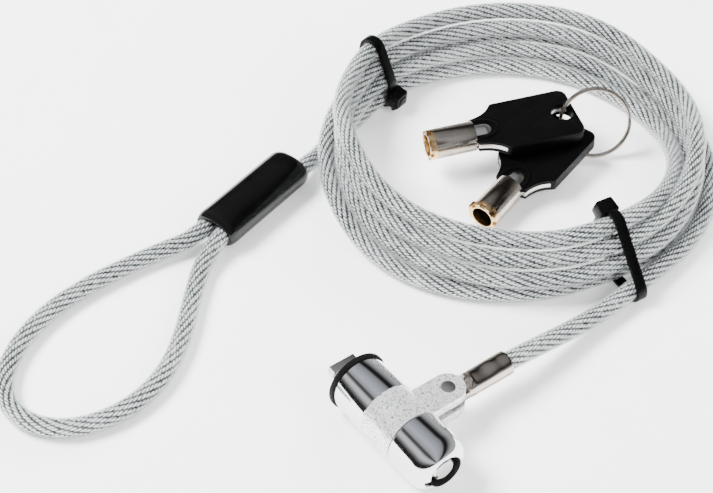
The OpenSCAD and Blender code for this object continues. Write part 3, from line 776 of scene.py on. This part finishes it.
dress("rear_barrel", CHROME, 0.12, "lock_body")
# the front cap's faces inside the keyway take the painted shade
dress("front_cap", CHROME, 0.1, "lock_body", keyway=(KEYWAY_PAINTED_SHADE, 3.82))
dress("rubber_gasket", RUBBER, 0.15, "lock_body")
dress("swivel_collar", ZINC, 0.3, "collar", 3)
dress("clevis_rivet", PALE_NICKEL, 0.12, "collar")
dress("cable_end_ferrule", NICKEL, 0.12, "cable", shape=crimp_dents)
dress("t_bar_spindle", PALE_NICKEL, 0.9, "plug", 5)
for key, place in KEYS.items():
    mouth, along = key_point(place, (1.7, 0, 0)), key_point(place, (2.7, 0, 0))
    dress(key + "_tube", NICKEL, 0.08, key, tip=(RIM_BRASS, mouth, (along - mouth).normalized()))
    dress(key + "_core", PALE_NICKEL, 0.08, key)
    dress(key + "_grip", GRIP, 0.5, key, 3)
    arch_rim(key, place)
split_ring()
# the inner sleeve takes the painted shade of the keyway's recess
paint("inner_sleeve", KEYWAY_PAINTED_SHADE)
for node in ("slot_guides", "chamber_pin", "driver_pins", "pin_springs", "spindle_clip"):
    paint(node, STEEL)
for node in ("pin_chamber", "key_pins", "key_plug"):
    paint(node, BRASS)
paint("loop_crimp", ALUMINIUM)


# ---------------------------------------------------------------- stage, light and camera
bpy.ops.mesh.primitive_plane_add(size=6, location=(0, 0, Z0 * MM - 0.00005))
ground = bpy.context.object
ground.name = "floor"
ground.data.materials.append(FLOOR)


def studio():
    """Long strips of light and dark, by the angle up round the lock's axis."""
    world = bpy.data.worlds.new("studio")
    bpy.context.scene.world = world
    world.use_nodes = True
    nodes, links = world.node_tree.nodes, world.node_tree.links
    coords = nodes.new("ShaderNodeTexCoord")
    parts = nodes.new("ShaderNodeSeparateXYZ")
    links.new(coords.outputs["Generated"], parts.inputs["Vector"])
    angle = nodes.new("ShaderNodeMath")
    angle.operation = "ARCTAN2"
    links.new(parts.outputs["Z"], angle.inputs[0])
    links.new(parts.outputs["Y"], angle.inputs[1])
    half_turns = nodes.new("ShaderNodeMath")
    half_turns.operation = "DIVIDE"
    half_turns.inputs[1].default_value = math.pi
    links.new(angle.outputs["Value"], half_turns.inputs[0])
    strips = ramp(nodes, [
        (0.0, 0.3), (0.06, 0.5), (0.16, 0.2), (0.22, 0.015), (0.28, 0.015), (0.33, 0.25),
        (0.41, (0.36, 0.39, 0.44)), (0.53, (0.55, 0.58, 0.64)), (0.62, 0.4), (0.665, 0.06),
        (0.7, 0.1), (0.75, 0.75), (0.8, 0.7), (0.86, 0.2), (0.92, 0.02), (1.0, 0.02),
    ])
    links.new(half_turns.outputs["Value"], strips.inputs["Fac"])
    links.new(strips.outputs["Color"], nodes["Background"].inputs["Color"])
    nodes["Background"].inputs["Strength"].default_value = 1.1


def area(name, place, target, size, power, color=(1, 1, 1)):
    d = bpy.data.lights.new(name, "AREA")
    d.shape = "RECTANGLE"
    d.size, d.size_y = size
    d.energy = power
    d.color = color
    o = bpy.data.objects.new(name, d)
    bpy.context.scene.collection.objects.link(o)
    o.location = place
    o.rotation_euler = (Vector(target) - Vector(place)).to_track_quat("-Z", "Y").to_euler()
    o.visible_glossy = False
    return o


studio()
aim = (-0.02, 0.03, 0.0)
area("key_light", (-0.45, -0.35, 0.75), aim, (0.5, 0.35), 42)
area("fill_light", (0.75, 0.3, 0.55), aim, (0.5, 0.6), 14)
area("back_light", (-0.35, 0.8, 0.5), aim, (0.9, 0.35), 16)

cam_data = bpy.data.cameras.new("camera")
cam_data.lens, cam_data.sensor_width = 85.2, 36
cam_data.clip_start, cam_data.clip_end = 0.01, 10
camera = bpy.data.objects.new("camera", cam_data)
bpy.context.scene.collection.objects.link(camera)
camera.location = (0.1861, -0.1374, 0.2670)
look = Vector((-0.0370, 0.0278, -0.0069)) - camera.location
camera.rotation_euler = look.to_track_quat("-Z", "Y").to_euler()
bpy.context.scene.camera = camera
